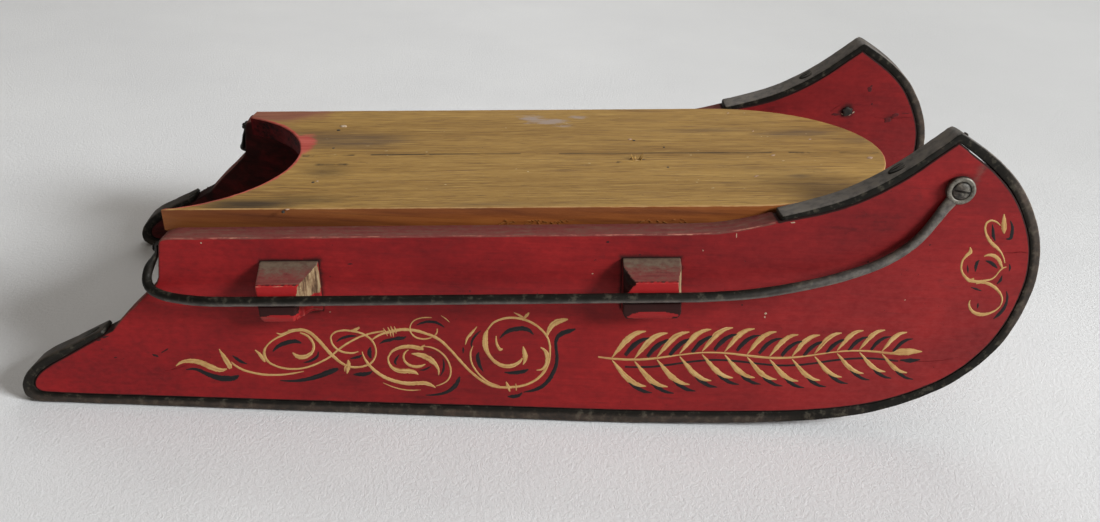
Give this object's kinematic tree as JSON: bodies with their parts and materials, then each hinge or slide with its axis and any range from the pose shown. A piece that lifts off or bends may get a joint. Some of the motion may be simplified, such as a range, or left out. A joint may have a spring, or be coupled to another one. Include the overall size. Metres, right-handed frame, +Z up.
{
  "type": "sled",
  "caption": "Antique child's sled: splayed plank runners with iron shoes, a notched deck board on through-tenoned cross beams, and iron grab rods along both sides.",
  "frame": {"origin": "centre of the bounding box on the floor, under the shoes", "axes": "+X towards the upswept front, +Z up, +Y to the sled's left"},
  "size_m": [0.8424, 0.3556, 0.2731],
  "materials": {
    "red_painted_wood": "old red paint, worn and chipped, with hand-painted scrolls",
    "worn_pine": "bare golden-brown board, worn and cracked",
    "dark_iron": "dark wrought iron, lightly rusted"
  },
  "bodies": {
    "root": {"right_runner": "red_painted_wood", "left_runner": "red_painted_wood", "right_shoe": "dark_iron", "left_shoe": "dark_iron", "rear_beam": "red_painted_wood", "front_beam": "red_painted_wood", "deck": "worn_pine", "right_grab_rod": "dark_iron", "left_grab_rod": "dark_iron", "right_eye_bolt": "dark_iron", "left_eye_bolt": "dark_iron", "right_tab_screw": "dark_iron", "left_tab_screw": "dark_iron"}
  },
  "joints": []
}
